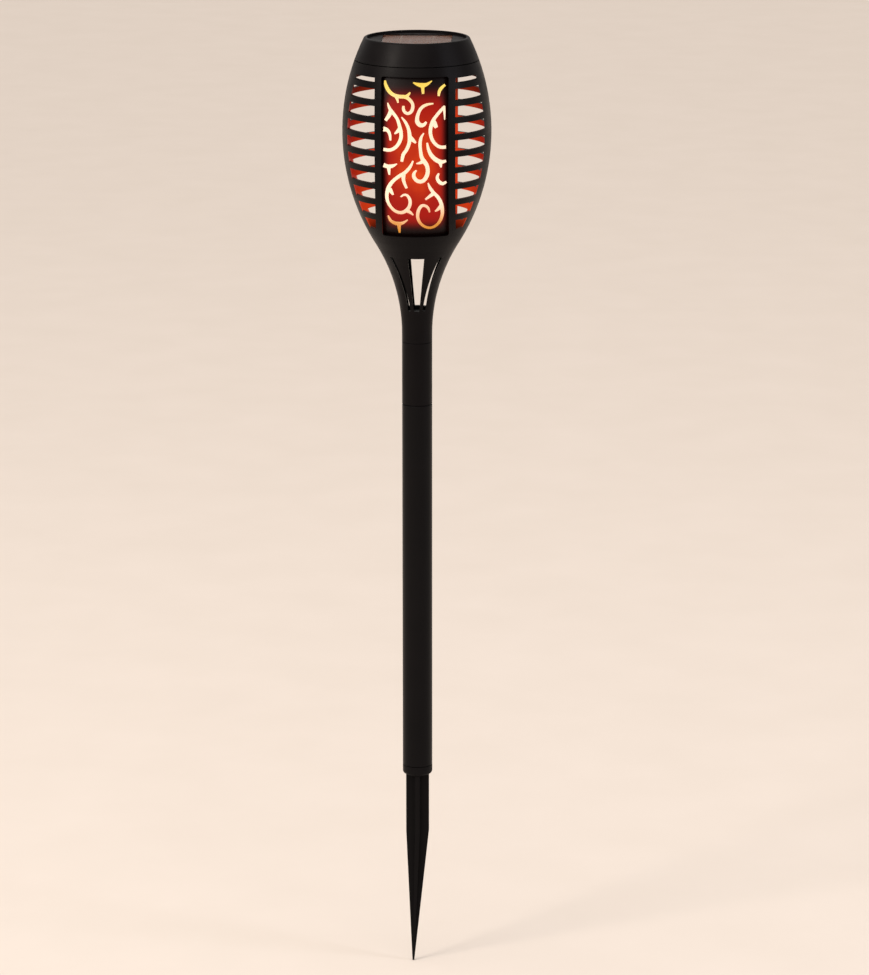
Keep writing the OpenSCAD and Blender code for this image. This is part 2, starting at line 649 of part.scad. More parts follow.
module housing_screws() {
    color("#9b9ca0") for (p = housing_screw_places)
        translate([p.x, p.y, base_z]) screw(housing_screw_r, base_t + housing_screw_len - 0.5, 1.9, 1.2);
}

module board_screws() {
    color("#9b9ca0") for (x = [-board_screw_x, board_screw_x])
        translate([x, board_screw_y, board_top_z]) rotate([180, 0, 0]) screw(board_screw_r, 5, 1.5, 1);
}

module circuit_board() {
    color("#1f5a34") translate([0, 0, board_z]) linear_extrude(board_t) difference() {
        union() {
            translate([-15, 1]) square([30, 16]);
            translate([-5, 16]) square([10, switch_y + 2.4 - 16]);
        }
        for (x = [-board_screw_x, board_screw_x])
            translate([x, board_screw_y]) circle(r = board_screw_r + 0.1, $fn = 32);
    }
}

module control_chip() {
    color("#202022") {
        translate([3.4, 4, board_top_z + 0.2]) cube([5, 4, 1.5]);
        for (i = [0 : 3], side = [0, 1])
            translate([3.8 + i * 1.27, side == 0 ? 3.1 : 7.9, board_top_z]) cube([0.4, 1, 0.9]);
    }
}

module boost_coil() {
    color("#35302c") translate([-8, 6, board_top_z]) rotate_extrude()
        polygon([[0, 0], [2.8, 0], [2.8, 0.8], [2, 0.8], [2, 3], [2.8, 3], [2.8, 3.8], [0, 3.8]]);
}

module capacitor() {
    color("#2b3550") translate([-2.4, 12.5, board_top_z]) rotate_extrude()
        polygon([[0, 0], [2, 0], [2, 3.2], [1.8, 3.4], [1.8, 3.6], [2, 3.8], [2, 4], [0, 4]]);
}

module switch_body() {
    color("#26262a") difference() {
        translate([-4, switch_y - 2.4, switch_z]) cube([8, 4.8, switch_h]);
        translate([0, switch_y, switch_z - 1]) cylinder(r = button_stem_r + button_gap, h = switch_h + 0.8);
    }
}

module switch_button() {
    color("#c8c6c0") translate([0, switch_y, 0]) {
        chamfered_bar(button_r, base_z - button_out, base_top_z + button_rest + button_flange_h / 2, 0.3);
        translate([0, 0, base_top_z + button_rest]) cylinder(r = button_flange_r, h = button_flange_h);
        translate([0, 0, base_top_z + button_rest]) cylinder(r = button_stem_r, h = switch_z + 0.6 - base_top_z);
    }
}

module battery() {
    color("#3f7d4a") translate([0, cell_y, cell_z]) rotate([0, 90, 0]) rotate_extrude()
        polygon([[0, -cell_len / 2], [cell_r - 0.4, -cell_len / 2], [cell_r, 0.4 - cell_len / 2],
            [cell_r, cell_len / 2 - 0.4], [cell_r - 0.4, cell_len / 2], [1.8, cell_len / 2],
            [1.8, cell_len / 2 + tip_len], [0, cell_len / 2 + tip_len]]);
}

module positive_contact() {
    color("#b9b6ae") translate([cell_len / 2 + tip_len, cell_y - contact_w / 2, base_top_z])
        cube([contact_t, contact_w, cell_r + 4]);
}

module negative_contact() {
    color("#b9b6ae") translate([-cell_len / 2, cell_y + contact_w / 4, 0]) rotate([90, 0, 0])
        linear_extrude(contact_w / 2)
            polygon([[-spring_len - contact_t, base_top_z], [-spring_len, base_top_z],
                [-spring_len, base_top_z + 4], [0, cell_z], [0, cell_z + 0.6], [-spring_len, base_top_z + 9],
                [-spring_len - contact_t, base_top_z + 9]]);
}

module battery_leads() {
    plus_x = cell_len / 2 + tip_len + contact_t;
    minus_x = -cell_len / 2 - spring_len - contact_t;
    lead_z = base_top_z + 7.5;
    color("#b5161a") lead([[plus_x, cell_y + 2, lead_z], [plus_x + 1, cell_y + 2, lead_z],
        [plus_x + 1, 0, lead_z + 1], [13, 3, lead_z + 1], [13, 3, board_top_z]], lead_r);
    color("#222226") lead([[minus_x, cell_y + 1, lead_z], [minus_x - 1, cell_y + 1, lead_z],
        [minus_x + 0.6, 0, lead_z + 1], [-13, 3, lead_z + 1], [-13, 3, board_top_z]], lead_r);
}

module panel_leads() {
    color("#b5161a") for (x = [-0.8, 0.8])
        lead([[panel_lead_x + x, panel_lead_y, board_top_z], [panel_lead_x + x, panel_lead_y, solar_z]], lead_r);
}

module lamp_leads() {
    color("#b5161a") for (x = [-3.6, 3.6])
        lead([[x, board_t / 2, base_top_z + 0.9], [x, 2.6, base_top_z + 0.9], [x, 2.6, board_z]], lead_r);
}

// ---- Flame tube ----

module lamp_board() {
    color("#e9e6dc") translate([-lamp_board_w / 2, -board_t / 2, lamp_board_z])
        cube([lamp_board_w, board_t, lamp_board_top_z - lamp_board_z]);
}

module lamps() {
    color("#f6d27a") for (turn = [0, 180], i = [0 : lamp_count - 1])
        rotate([0, 0, turn]) translate([-lamp_w / 2, board_t / 2, lamp_board_z + 7 + i * lamp_pitch - lamp_w / 2])
            cube([lamp_w, lamp_h, lamp_w]);
}

module flame_tube() {
    color("#f3e8cf") ring(tube_r, tube_r - lamp_wall, tube_foot_z + cap_disc_t, tube_top_z);
}

module tube_end_cap() {
    color("#e8dfc8") difference() {
        union() {
            chamfered_bar(tube_r, tube_foot_z, tube_foot_z + cap_disc_t, 0.3);
            translate([0, 0, tube_foot_z + cap_disc_t - eps])
                cylinder(r = tube_r - lamp_wall - spigot_gap, h = cap_plug_h + eps);
        }
        translate([-lamp_board_w / 2 - lay_gap, -board_t / 2 - lay_gap, lamp_board_z])
            cube([lamp_board_w + 2 * lay_gap, board_t + 2 * lay_gap, cap_plug_h]);
    }
}

ground_stake();
pole_tube();
pole_coupler();
shade();
front_scroll_panel();
rear_scroll_panel();
seal_ring();
cap_housing();
solar_panel();
panel_cover();
panel_pad();
base_plate();
housing_screws();
circuit_board();
board_screws();
control_chip();
boost_coil();
capacitor();
switch_body();
switch_button();
battery();
positive_contact();
negative_contact();
battery_leads();
panel_leads();
lamp_leads();
lamp_board();
lamps();
flame_tube();
tube_end_cap();
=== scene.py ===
import math
import bpy
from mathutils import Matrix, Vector


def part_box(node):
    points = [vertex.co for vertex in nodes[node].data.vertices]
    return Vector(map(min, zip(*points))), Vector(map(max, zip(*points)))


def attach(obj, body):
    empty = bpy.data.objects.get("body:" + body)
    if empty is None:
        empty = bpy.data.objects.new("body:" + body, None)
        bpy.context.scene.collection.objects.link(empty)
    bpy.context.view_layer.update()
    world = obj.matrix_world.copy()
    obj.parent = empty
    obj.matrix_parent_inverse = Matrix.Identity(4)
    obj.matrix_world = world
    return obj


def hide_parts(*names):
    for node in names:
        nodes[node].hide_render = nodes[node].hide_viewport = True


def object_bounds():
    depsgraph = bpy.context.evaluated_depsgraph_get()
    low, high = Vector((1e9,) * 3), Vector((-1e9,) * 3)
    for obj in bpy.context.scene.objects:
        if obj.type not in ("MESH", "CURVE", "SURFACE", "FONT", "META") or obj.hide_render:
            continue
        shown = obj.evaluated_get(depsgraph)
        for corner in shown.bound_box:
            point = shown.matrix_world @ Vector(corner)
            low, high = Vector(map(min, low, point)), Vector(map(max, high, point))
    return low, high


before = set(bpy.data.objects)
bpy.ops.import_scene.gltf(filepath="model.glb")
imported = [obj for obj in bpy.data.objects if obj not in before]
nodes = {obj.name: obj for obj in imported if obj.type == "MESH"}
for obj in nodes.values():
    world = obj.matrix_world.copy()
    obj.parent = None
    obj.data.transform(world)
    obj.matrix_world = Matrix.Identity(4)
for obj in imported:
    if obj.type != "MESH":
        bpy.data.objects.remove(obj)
cadBox = [list(corner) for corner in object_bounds()]
mm = 0.001
print("frame loaded:", len(nodes), "nodes")


def toLinear(code):  # sRGB hex to the linear colour that the shaders take
    parts = [int(code[i:i + 2], 16) / 255 for i in (1, 3, 5)]
    return [p / 12.92 if p <= 0.04045 else ((p + 0.055) / 1.055) ** 2.4 for p in parts] + [1.0]


def perMetre(sizeMm):  # texture scale for a pattern whose grains are sizeMm across
    return 1 / (sizeMm * mm)


def addNode(tree, kind, inputs=(), **settings):  # inputs by socket name or number, or a list in the sockets' order
    node = tree.nodes.new(kind)
    for name, value in settings.items():
        setattr(node, name, value)
    for key, value in inputs.items() if isinstance(inputs, dict) else enumerate(inputs):
        if isinstance(value, bpy.types.NodeSocket):
            tree.links.new(value, node.inputs[key])
        else:
            node.inputs[key].default_value = value
    return node


def startMaterial(name):
    material = bpy.data.materials.new(name)
    material.use_nodes = True
    material.node_tree.nodes.clear()
    place = addNode(material.node_tree, "ShaderNodeTexCoord").outputs["Object"]
    return material, material.node_tree, place


def endMaterial(tree, inputs):
    shader = addNode(tree, "ShaderNodeBsdfPrincipled", inputs)
    addNode(tree, "ShaderNodeOutputMaterial", {"Surface": shader.outputs["BSDF"]})


smooth = {"interpolation_type": "SMOOTHSTEP"}
mostNoise = (0.3, 0.7)  # nearly all of a noise texture's values lie in here

# The levels that the painted glow and the flame tube's colours follow, all from the frame
frameLap = 2 * mm
panelLow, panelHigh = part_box("front_scroll_panel")
windowFoot, windowTop = panelLow[2] + frameLap, panelHigh[2] - frameLap
windowHalf = panelHigh[0] - frameLap
tubeFoot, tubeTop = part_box("flame_tube")[0][2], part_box("flame_tube")[1][2]

# the glow values are painted light: the flame's red light on the shade's inside wall
blackAbs = {"colour": "#080607", "worn": "#0d0a0b", "patchMm": 14, "roughLow": 0.34, "roughHigh": 0.46,
            "sparkMm": 0.55, "depthMm": 0.018, "glowDeep": "#8c0f06", "glowHot": "#d23a14", "glow": 0.95,
            "turnedIn": (-0.55, -0.8), "acrossMm": (37, 24), "aboveFootMm": (-4, 12), "belowTopMm": (2, 34)}


def mouldedAbs(name, values, lit=False):
    # ABS from a spark-eroded mould: near black, a soft sheen broken up by a fine even grain
    material, tree, place = startMaterial(name)
    patches = addNode(tree, "ShaderNodeTexNoise",
                      {"Vector": place, "Scale": perMetre(values["patchMm"]), "Detail": 3}).outputs[0]
    spark = addNode(tree, "ShaderNodeTexNoise",
                    {"Vector": place, "Scale": perMetre(values["sparkMm"]), "Detail": 1}).outputs[0]
    tone = addNode(tree, "ShaderNodeMix",
                   {0: patches, 6: toLinear(values["colour"]), 7: toLinear(values["worn"])}, data_type="RGBA")
    rough = addNode(tree, "ShaderNodeMapRange",
                    [patches, *mostNoise, values["roughLow"], values["roughHigh"]], **smooth)
    skin = addNode(tree, "ShaderNodeBump", {"Height": spark, "Distance": values["depthMm"] * mm, "Strength": 0.6})
    inputs = {"Base Color": tone.outputs[2], "Roughness": rough.outputs[0], "IOR": 1.53, "Specular IOR Level": 0.07,
              "Normal": skin.outputs[0]}
    if lit:  # painted light: the inside wall gets a red emission where it faces the flame, in place of the tube's light falling on it behind the openings
        parts = addNode(tree, "ShaderNodeSeparateXYZ", [place]).outputs
        flat = addNode(tree, "ShaderNodeCombineXYZ", [parts["X"], parts["Y"]]).outputs[0]
        radial = addNode(tree, "ShaderNodeVectorMath", [flat], operation="NORMALIZE").outputs["Vector"]
        facing = addNode(tree, "ShaderNodeTexCoord").outputs["Normal"]
        outward = addNode(tree, "ShaderNodeVectorMath",
                          [facing, radial], operation="DOT_PRODUCT").outputs["Value"]
        inward = addNode(tree, "ShaderNodeMapRange", [outward, *values["turnedIn"]], **smooth).outputs[0]
        across = addNode(tree, "ShaderNodeMath", [parts["X"]], operation="ABSOLUTE").outputs[0]
        near = addNode(tree, "ShaderNodeMapRange",
                       [across, *(x * mm for x in values["acrossMm"])], **smooth).outputs[0]
        up = addNode(tree, "ShaderNodeMapRange",
                     [parts["Z"], *(windowFoot + z * mm for z in values["aboveFootMm"])], **smooth).outputs[0]
        down = addNode(tree, "ShaderNodeMapRange",
                       [parts["Z"], *(windowTop - z * mm for z in values["belowTopMm"])], **smooth).outputs[0]
        level = addNode(tree, "ShaderNodeMath", [up, down], operation="MULTIPLY").outputs[0]
        level = addNode(tree, "ShaderNodeMath", [level, inward], operation="MULTIPLY").outputs[0]
        inputs["Emission Color"] = addNode(
            tree, "ShaderNodeMix", {0: near, 6: toLinear(values["glowDeep"]), 7: toLinear(values["glowHot"])},
            data_type="RGBA").outputs[2]
        inputs["Emission Strength"] = addNode(
            tree, "ShaderNodeMath", [level, values["glow"]], operation="MULTIPLY").outputs[0]
    endMaterial(tree, inputs)
    return material


stakePlastic = dict(blackAbs, colour="#090809", worn="#0f0d0e", roughLow=0.42, roughHigh=0.58,
                    sparkMm=0.8, depthMm=0.025)

tubePlastic = {"colour": "#0a090a", "worn": "#100e0f", "patchMm": 20, "roughLow": 0.3, "roughHigh": 0.42,
               "lineMm": 0.9, "drawn": 0.01, "depthMm": 0.012}


def extrudedTube(name, values):
    # PP tube, extruded: faint draw lines run its whole length and soften the highlight across it
    material, tree, place = startMaterial(name)
    along = addNode(tree, "ShaderNodeMapping", {"Vector": place, "Scale": (1, 1, values["drawn"])}).outputs["Vector"]
    lines = addNode(tree, "ShaderNodeTexNoise",
                    {"Vector": along, "Scale": perMetre(values["lineMm"]), "Detail": 2}).outputs[0]
    patches = addNode(tree, "ShaderNodeTexNoise",
                      {"Vector": place, "Scale": perMetre(values["patchMm"]), "Detail": 2}).outputs[0]
    tone = addNode(tree, "ShaderNodeMix",
                   {0: patches, 6: toLinear(values["colour"]), 7: toLinear(values["worn"])}, data_type="RGBA")
    rough = addNode(tree, "ShaderNodeMapRange",
                    [lines, *mostNoise, values["roughLow"], values["roughHigh"]], **smooth)
    skin = addNode(tree, "ShaderNodeBump", {"Height": lines, "Distance": values["depthMm"] * mm, "Strength": 0.5})
    endMaterial(tree, {"Base Color": tone.outputs[2], "Roughness": rough.outputs[0], "IOR": 1.5,
                       "Specular IOR Level": 0.07, "Normal": skin.outputs[0]})
    return material


# the glow values are painted light: the tube's light shining through the scroll plates
litPlate = {"colour": "#0c0202", "glowDeep": "#520400", "glowRed": "#a81003", "glowHot": "#e8480c", "glow": 1.0,
            "fadeMm": 6, "patchMm": 11, "patchLeast": 0.35, "heartMm": (16, 3), "bellyFootMm": (14, 38),
            "bellyTopMm": (74, 46), "grainMm": 0.7, "depthMm": 0.015}


def scrollPlate(name, values):
    # thin translucent PC plate, moulded; painted light: an emission in place of the tube's light from behind, so it
    # glows deep red and dies away at its frame
    material, tree, place = startMaterial(name)
    parts = addNode(tree, "ShaderNodeSeparateXYZ", [place]).outputs
    across = addNode(tree, "ShaderNodeMath", [parts["X"]], operation="ABSOLUTE").outputs[0]
    rise = addNode(tree, "ShaderNodeMath", [parts["Z"], windowFoot], operation="SUBTRACT").outputs[0]
    noise = addNode(tree, "ShaderNodeTexNoise",
                    {"Vector": place, "Scale": perMetre(values["patchMm"]), "Detail": 2}).outputs[0]
    fade = values["fadeMm"] * mm
    bands = {  # each rises from 0 to 1 between two levels, or over the noise's range
        "sides": [across, windowHalf + 0.5 * mm, windowHalf - fade],
        "up": [parts["Z"], windowFoot + mm, windowFoot + 2.2 * fade],
        "down": [parts["Z"], windowTop - mm, windowTop - 3 * fade],
        "patches": [noise, *mostNoise, values["patchLeast"], 1.0],
        "heart": [across, *(x * mm for x in values["heartMm"])],
        "bellyFoot": [rise, *(z * mm for z in values["bellyFootMm"])],
        "bellyTop": [rise, *(z * mm for z in values["bellyTopMm"])]}
    bands = {band: addNode(tree, "ShaderNodeMapRange", inputs, **smooth).outputs[0]
             for band, inputs in bands.items()}
    level, heart = bands["sides"], bands["heart"]
    for band in ("up", "down"):
        level = addNode(tree, "ShaderNodeMath", [level, bands[band]], operation="MULTIPLY").outputs[0]
    for band in ("patches", "bellyFoot", "bellyTop"):
        heart = addNode(tree, "ShaderNodeMath", [heart, bands[band]], operation="MULTIPLY").outputs[0]
    red = addNode(tree, "ShaderNodeMix",
                  {0: level, 6: toLinear(values["glowDeep"]), 7: toLinear(values["glowRed"])}, data_type="RGBA")
    hot = addNode(tree, "ShaderNodeMix",
                  {0: heart, 6: red.outputs[2], 7: toLinear(values["glowHot"])}, data_type="RGBA")
    strength = addNode(tree, "ShaderNodeMapRange", [level, 0.0, 0.8, 0.0, values["glow"]], **smooth)
    fine = addNode(tree, "ShaderNodeTexNoise",
                   {"Vector": place, "Scale": perMetre(values["grainMm"]), "Detail": 1}).outputs[0]
    skin = addNode(tree, "ShaderNodeBump", {"Height": fine, "Distance": values["depthMm"] * mm, "Strength": 0.5})
    endMaterial(tree, {
        "Base Color": toLinear(values["colour"]), "Roughness": 0.45, "IOR": 1.58, "Specular IOR Level": 0.1,
        "Emission Color": hot.outputs[2], "Emission Strength": strength.outputs[0], "Normal": skin.outputs[0]})
    return material


flame = {"body": "#d8c8a8", "low": "#e0912e", "middle": "#ffe9c8", "high": "#ffdc58", "glow": 0.98, "dimmest": 0.9,
         "tongueMm": 9, "tongueStretch": 0.45, "swayMm": 12, "aboveFootMm": (8, 26), "belowTopMm": (20, 6),
         "grainMm": 0.5, "depthMm": 0.02}


def frostedTube(name, values):
    # PP diffuser, sand-frosted: milky, evenly bright, orange at the foot and yellow at the top
    material, tree, place = startMaterial(name)
    height = addNode(tree, "ShaderNodeSeparateXYZ", [place]).outputs["Z"]
    drawn = addNode(tree, "ShaderNodeMapping",
                    {"Vector": place, "Scale": (1, 1, values["tongueStretch"])}).outputs["Vector"]
    tongues = addNode(tree, "ShaderNodeTexNoise",
                      {"Vector": drawn, "Scale": perMetre(values["tongueMm"]), "Detail": 2}).outputs[0]
    offset = addNode(tree, "ShaderNodeMath", [tongues, 0.5], operation="SUBTRACT").outputs[0]
    sway = addNode(tree, "ShaderNodeMath", [offset, values["swayMm"] * mm], operation="MULTIPLY").outputs[0]
    level = addNode(tree, "ShaderNodeMath", [height, sway], operation="ADD").outputs[0]
    low = addNode(tree, "ShaderNodeMapRange",
                  [level, *(tubeFoot + z * mm for z in values["aboveFootMm"])], **smooth).outputs[0]
    high = addNode(tree, "ShaderNodeMapRange",
                   [level, *(tubeTop - z * mm for z in values["belowTopMm"])], **smooth).outputs[0]
    warm = addNode(tree, "ShaderNodeMix",
                   {0: low, 6: toLinear(values["low"]), 7: toLinear(values["middle"])}, data_type="RGBA")
    light = addNode(tree, "ShaderNodeMix",
                    {0: high, 6: warm.outputs[2], 7: toLinear(values["high"])}, data_type="RGBA")
    strength = addNode(tree, "ShaderNodeMapRange",
                       [tongues, 0.25, 0.75, values["glow"] * values["dimmest"], values["glow"]], **smooth)
    frost = addNode(tree, "ShaderNodeTexNoise",
                    {"Vector": place, "Scale": perMetre(values["grainMm"]), "Detail": 1}).outputs[0]
    skin = addNode(tree, "ShaderNodeBump", {"Height": frost, "Distance": values["depthMm"] * mm, "Strength": 0.6})
    endMaterial(tree, {
        "Base Color": toLinear(values["body"]), "Roughness": 0.55, "IOR": 1.49,
        "Emission Color": light.outputs[2], "Emission Strength": strength.outputs[0], "Normal": skin.outputs[0]})
    return material


solar = {"dark": "#74402a", "light": "#865338", "flakeMm": 3.2, "roughLow": 0.18, "roughHigh": 0.32}


def siliconCells(name, values):
    # polycrystalline silicon, cast and sawn: angular flakes in slightly different browns under a glossy film
    material, tree, place = startMaterial(name)
    flakes = addNode(tree, "ShaderNodeTexVoronoi", {"Vector": place, "Scale": perMetre(values["flakeMm"])})
    shade = addNode(tree, "ShaderNodeSeparateColor", [flakes.outputs["Color"]]).outputs[0]
    tone = addNode(tree, "ShaderNodeMix",
                   {0: shade, 6: toLinear(values["dark"]), 7: toLinear(values["light"])}, data_type="RGBA")
    rough = addNode(tree, "ShaderNodeMapRange", [shade, 0.0, 1.0, values["roughLow"], values["roughHigh"]], **smooth)
    endMaterial(tree, {"Base Color": tone.outputs[2], "Roughness": rough.outputs[0], "IOR": 1.5,
                       "Coat Weight": 0.4, "Coat Roughness": 0.08})
    return material


resinValues = {"colour": "#3a2a22", "cover": 0.2, "rippleMm": 9, "depthMm": 0.05}


def clearResin(name, values):
    # epoxy, poured and cured: a thin glossy film, with a slow ripple that bends the reflections
    material, tree, place = startMaterial(name)
    ripple = addNode(tree, "ShaderNodeTexNoise",
                     {"Vector": place, "Scale": perMetre(values["rippleMm"]), "Detail": 1}).outputs[0]
    skin = addNode(tree, "ShaderNodeBump", {"Height": ripple, "Distance": values["depthMm"] * mm, "Strength": 0.3})
    endMaterial(tree, {"Base Color": toLinear(values["colour"]), "Roughness": 0.06, "IOR": 1.5,
                       "Alpha": values["cover"], "Normal": skin.outputs[0]})
    return material


plainValues = {"patchTimes": 6, "roughSpread": 0.06, "depthMm": 0.01}


def plainPlastic(name, colour, shade, rough, grainMm):
    # small moulded or dipped parts: one tone with slight mottling and a fine skin
    material, tree, place = startMaterial(name)
    patches = addNode(tree, "ShaderNodeTexNoise",
                      {"Vector": place, "Scale": perMetre(grainMm * plainValues["patchTimes"]), "Detail": 2}).outputs[0]
    fine = addNode(tree, "ShaderNodeTexNoise", {"Vector": place, "Scale": perMetre(grainMm), "Detail": 1}).outputs[0]
    tone = addNode(tree, "ShaderNodeMix", {0: patches, 6: toLinear(colour), 7: toLinear(shade)}, data_type="RGBA")
    spread = plainValues["roughSpread"]
    gloss = addNode(tree, "ShaderNodeMapRange", [patches, *mostNoise, rough - spread, rough + spread], **smooth)
    skin = addNode(tree, "ShaderNodeBump", {"Height": fine, "Distance": plainValues["depthMm"] * mm, "Strength": 0.5})
    endMaterial(tree, {"Base Color": tone.outputs[2], "Roughness": gloss.outputs[0], "IOR": 1.5,
                       "Normal": skin.outputs[0]})
    return material


metalValues = {"scratchMm": 0.25, "drawn": 0.08, "roughLow": 0.24, "roughHigh": 0.42, "depthMm": 0.004}


def drawnMetal(name, colour, values):
    # metal, rolled or drawn and then plated or enamelled: faint scratches spread the shine
    material, tree, place = startMaterial(name)
    along = addNode(tree, "ShaderNodeMapping", {"Vector": place, "Scale": (1, values["drawn"], 1)}).outputs["Vector"]
    scratches = addNode(tree, "ShaderNodeTexNoise",
                        {"Vector": along, "Scale": perMetre(values["scratchMm"]), "Detail": 2}).outputs[0]
    rough = addNode(tree, "ShaderNodeMapRange",
                    [scratches, *mostNoise, values["roughLow"], values["roughHigh"]], **smooth)
    skin = addNode(tree, "ShaderNodeBump", {"Height": scratches, "Distance": values["depthMm"] * mm, "Strength": 0.4})
    endMaterial(tree, {"Base Color": toLinear(colour), "Metallic": 1.0, "Roughness": rough.outputs[0],
                       "Normal": skin.outputs[0]})
    return material


phosphorValues = {"colour": "#f4c84a", "cloudy": "#ffe08a", "cloudMm": 1.2, "light": "#ffd890", "glow": 3.0}


def phosphorResin(name, values):
    # silicone with yellow phosphor, cast in the lamp's cup: the brightest thing inside the tube
    material, tree, place = startMaterial(name)
    cloud = addNode(tree, "ShaderNodeTexNoise",
                    {"Vector": place, "Scale": perMetre(values["cloudMm"]), "Detail": 2}).outputs[0]
    tone = addNode(tree, "ShaderNodeMix",
                   {0: cloud, 6: toLinear(values["colour"]), 7: toLinear(values["cloudy"])}, data_type="RGBA")
    endMaterial(tree, {"Base Color": tone.outputs[2], "Roughness": 0.3, "IOR": 1.41,
                       "Emission Color": toLinear(values["light"]), "Emission Strength": values["glow"]})
    return material


# painted light: the shade's inside wall carries a red emission for the flame's light
shadeAbs = mouldedAbs("shadeAbsPaintedFlameGlow", blackAbs, lit=True)
capAbs = mouldedAbs("capAbsMoulded", blackAbs)
stakePp = mouldedAbs("stakePolypropyleneMoulded", stakePlastic)
poleTube = extrudedTube("polePolypropyleneExtruded", tubePlastic)
# painted light: the scroll plates glow red by emission, for the tube's light shining through them
platePaintedGlow = scrollPlate("scrollPlatePolycarbonatePaintedGlow", litPlate)
diffuser = frostedTube("diffuserPolypropyleneFrosted", flame)
cells = siliconCells("siliconCellsPolycrystalline", solar)
resin = clearResin("epoxyResinPoured", resinValues)
zincSteel = drawnMetal("steelZincPlated", "#b9b8b4", metalValues)
silverInk = plainPlastic("silverPastePrinted", "#7d675c", "#877063", 0.45, 0.3)
copperWire = drawnMetal("copperWireEnamelled", "#b4622e", metalValues)
phosphor = phosphorResin("siliconePhosphorCast", phosphorValues)

finishes = {
    "shade": shadeAbs, "cap_housing": capAbs, "base_plate": capAbs, "ground_stake": stakePp,
    "pole_coupler": capAbs, "pole_tube": poleTube, "front_scroll_panel": platePaintedGlow, "rear_scroll_panel": platePaintedGlow,
    "flame_tube": diffuser, "tube_end_cap": diffuser, "solar_panel": cells, "panel_cover": resin,
    "housing_screws": zincSteel, "board_screws": zincSteel, "positive_contact": zincSteel,
    "negative_contact": zincSteel,
    "seal_ring": plainPlastic("nitrileRubberMoulded", "#1b1b1c", "#262627", 0.7, 0.4),
    "panel_pad": plainPlastic("polyethyleneFoamCut", "#d8d2c6", "#e9e5dc", 0.85, 0.5),
    "circuit_board": plainPlastic("boardLaminateSolderMask", "#174a2a", "#1f5c35", 0.35, 0.8),
    "lamp_board": plainPlastic("boardLaminateWhiteMask", "#dcd8cc", "#efece4", 0.4, 0.8),
    "control_chip": plainPlastic("epoxyChipMoulded", "#1a1a1c", "#252527", 0.55, 0.3),
    "switch_body": plainPlastic("nylonSwitchMoulded", "#1e1e21", "#2a2a2d", 0.5, 0.4),
    "boost_coil": plainPlastic("ferriteSintered", "#2a2725", "#363230", 0.6, 0.3),
    "capacitor": plainPlastic("sleevePvcShrunk", "#1d2646", "#2a3560", 0.35, 0.5),
    "switch_button": plainPlastic("buttonAcetalMoulded", "#b9b6ae", "#cfccc4", 0.4, 0.5),
    "battery": plainPlastic("cellSleevePvcShrunk", "#2f7a3f", "#3c8f4d", 0.3, 0.9),
    "battery_leads": plainPlastic("leadInsulationPvc", "#a51418", "#b81d20", 0.4, 0.4),
}
finishes["panel_leads"] = finishes["lamp_leads"] = finishes["battery_leads"]
for name, material in finishes.items():
    slots = nodes[name].data.materials
    if not slots:
        slots.append(material)
    for i in range(len(slots)):
        slots[i] = material
print("materials done:", len(finishes), "nodes finished")


def startTree(name, inputs):  # a geometry tree whose inputs are given as name to (socket type, value)
    tree = bpy.data.node_groups.new(name, "GeometryNodeTree")
    tree.interface.new_socket("Geometry", in_out="OUTPUT", socket_type="NodeSocketGeometry")
    for label, (kind, value) in inputs.items():
        tree.interface.new_socket(label, in_out="INPUT", socket_type=kind).default_value = value
    return tree, addNode(tree, "NodeGroupInput").outputs


def endTree(tree, geometry, material):
    solid = addNode(tree, "GeometryNodeRealizeInstances", {"Geometry": geometry}).outputs[0]
    coated = addNode(tree, "GeometryNodeSetMaterial", {"Geometry": solid, "Material": material}).outputs[0]
    addNode(tree, "NodeGroupOutput", {"Geometry": coated})


def grow(name, tree, values, body):  # runs the tree once and keeps the result as a plain mesh
    seedMesh = bpy.data.meshes.new(name + "Seed")
    piece = bpy.data.objects.new(name, seedMesh)
    bpy.context.scene.collection.objects.link(piece)
    modifier = piece.modifiers.new("grow", "NODES")
    modifier.node_group = tree
    for item in tree.interface.items_tree:
        if item.in_out == "INPUT" and item.name in values:
            modifier[item.identifier] = values[item.name]
    graph = bpy.context.evaluated_depsgraph_get()
    mesh = bpy.data.meshes.new_from_object(piece.evaluated_get(graph))
    piece.modifiers.clear()
    piece.data = mesh
    bpy.data.meshes.remove(seedMesh)
    mesh.name = name
    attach(piece, body)
    return piece


# Square lamps: a cup (white on the real lamp, here in the phosphor finish like the window) with a raised, round
# phosphor window, in a row up each face of the board
lampValues = {"count": 6, "side": 5 * mm, "deep": 1.6 * mm,
              "window": 1.9 * mm, "windowOut": 0.02 * mm, "windowSides": 24}


